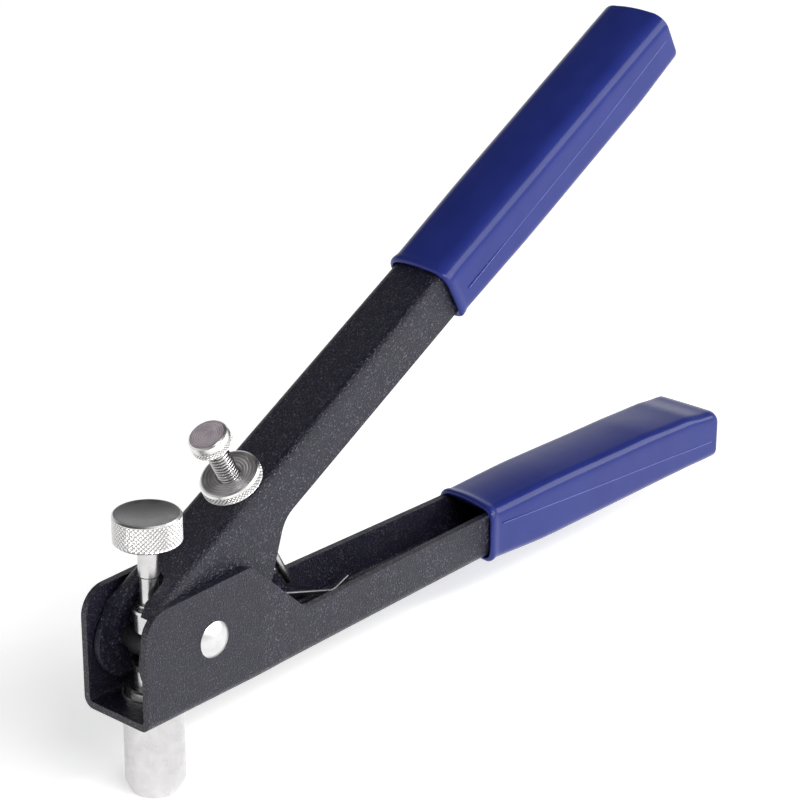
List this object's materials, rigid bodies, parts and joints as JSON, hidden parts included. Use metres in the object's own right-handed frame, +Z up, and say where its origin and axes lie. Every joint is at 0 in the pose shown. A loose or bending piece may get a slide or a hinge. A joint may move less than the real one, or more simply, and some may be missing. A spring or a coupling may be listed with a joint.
{
  "type": "threaded insert setting pliers",
  "caption": "Hand setting tool for threaded fasteners: two sprung channel levers with vinyl grips, a lifting mandrel with knurled knob, a plain nose barrel and a stop screw.",
  "frame": {"origin": "centre of the nose barrel's tip, at the mouth of the nose thread, on the mandrel axis", "axes": "+Z up the mandrel axis towards the knob, +X along the lower lever towards its grip, +Y across the tool along the lever's pivot"},
  "size_m": [0.2508, 0.028, 0.1727],
  "materials": {
    "lever_steel": "fine textured black powder coat, satin",
    "grip_vinyl": "smooth dip-moulded navy vinyl, glossy",
    "barrel_steel": "bright nickel plate, fine turned",
    "mandrel_steel": "bright nickel plate",
    "collar_steel": "bright nickel plate",
    "knob_steel": "nickel plate, diamond knurled rim and turned top",
    "nut_steel": "nickel plate, knurled rim and turned face",
    "screw_steel": "bright zinc plate",
    "rivet_steel": "bright zinc plate, satin",
    "spring_wire": "oiled spring steel, dark",
    "fastener_black": "black oxide",
    "trunnion_black": "black oxide, lightly oiled"
  },
  "bodies": {
    "base": {"lower_body": "lever_steel", "lower_grip": "grip_vinyl", "nose_barrel": "barrel_steel", "barrel_nut": "fastener_black", "pivot_rivet": "rivet_steel", "pivot_bush": "rivet_steel", "pivot_washers": "rivet_steel", "return_spring": "spring_wire"},
    "upper_lever": {"upper_handle": "lever_steel", "upper_grip": "grip_vinyl", "screw_boss": "fastener_black"},
    "trunnion": {"trunnion": "trunnion_black"},
    "mandrel_carrier": {"thrust_collar": "collar_steel"},
    "mandrel": {"mandrel_rod": "mandrel_steel", "mandrel_knob": "knob_steel", "retaining_ring": "collar_steel", "jam_nut": "trunnion_black", "mandrel_coupler": "mandrel_steel"},
    "stop_screw": {"stop_screw": "screw_steel"},
    "stop_screw_head": {"stop_screw_head": "knob_steel"},
    "lock_nut": {"lock_nut": "nut_steel"}
  },
  "joints": [
    {"name": "handle_pivot", "type": "hinge", "parent": "base", "child": "upper_lever", "pos_m": [0.011, 0, 0.0427], "axis": [0, 1, 0], "range_deg": [0, 20.6], "stiffness_Nm_per_rad": 2, "springref_deg": -20.05, "deforming": ["return_spring"]},
    {"name": "trunnion_turn", "type": "hinge", "parent": "upper_lever", "child": "trunnion", "pos_m": [0, 0, 0.0418], "axis": [0, 1, 0], "range_deg": [-20.7, 0]},
    {"name": "mandrel_lift", "type": "slide", "parent": "base", "child": "mandrel_carrier", "axis": [0, 0, 1], "range_m": [0, 0.0043]},
    {"name": "mandrel_spin", "type": "hinge", "parent": "mandrel_carrier", "child": "mandrel", "pos_m": [0, 0, 0.05], "axis": [0, 0, 1], "continuous": true},
    {"name": "screw_advance", "type": "slide", "parent": "upper_lever", "child": "stop_screw", "axis": [-0.4879, 0, 0.8729], "range_m": [0, 0.01]},
    {"name": "screw_turn", "type": "hinge", "parent": "stop_screw", "child": "stop_screw_head", "pos_m": [0.04059, 0, 0.05924], "axis": [-0.4879, 0, 0.8729], "range_deg": [0, 3600.5]},
    {"name": "lock_nut_travel", "type": "slide", "parent": "upper_lever", "child": "lock_nut", "axis": [-0.4879, 0, 0.8729], "range_m": [0, 0.009]}
  ],
  "couplings": [
    {"joint": "trunnion_turn", "follows": "handle_pivot", "ratio": -1},
    {"joint": "mandrel_lift", "follows": "handle_pivot", "m_per_rad": 0.01105},
    {"joint": "screw_turn", "follows": "screw_advance", "rad_per_m": 6283.2}
  ]
}
